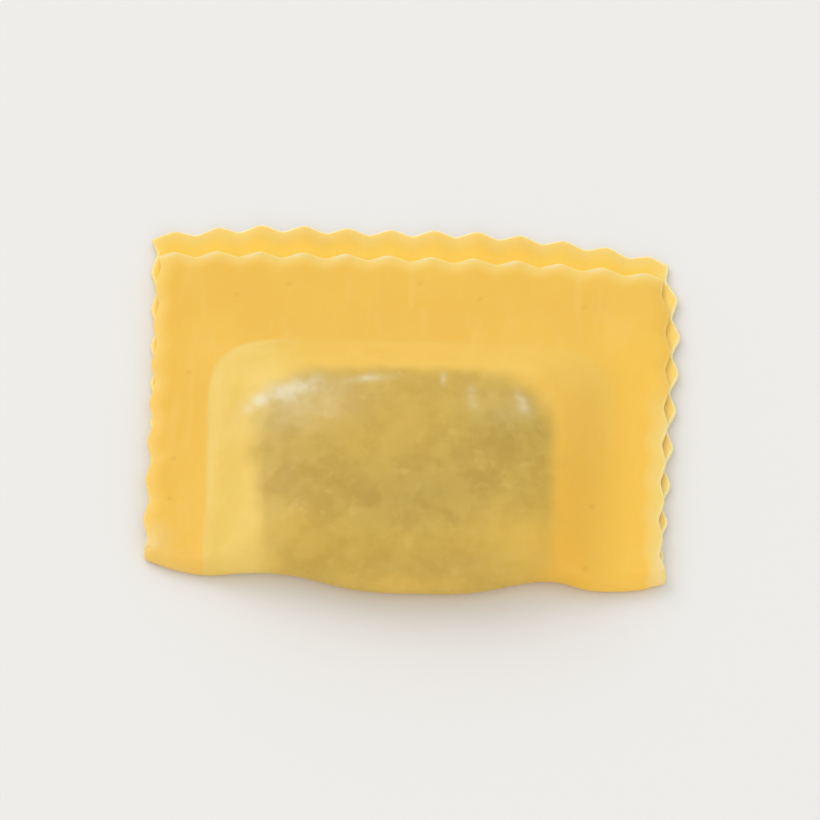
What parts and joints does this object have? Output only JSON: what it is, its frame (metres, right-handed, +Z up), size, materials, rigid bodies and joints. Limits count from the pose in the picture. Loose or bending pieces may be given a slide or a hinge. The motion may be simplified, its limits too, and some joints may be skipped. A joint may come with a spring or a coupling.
{
  "type": "ravioli",
  "caption": "Folded pocket of egg pasta with fluted cut edges round a raised ricotta and spinach filling.",
  "frame": {"origin": "middle of the flat underside, at the centre of the footprint's overall extents", "axes": "+X along the folded front edge, +Y from the fold to the cut back edge, +Z up"},
  "size_m": [0.0618, 0.0492, 0.0083],
  "materials": {
    "dough": "satin egg dough, slightly translucent"
  },
  "bodies": {
    "root": {"ravioli": "dough"}
  },
  "joints": []
}
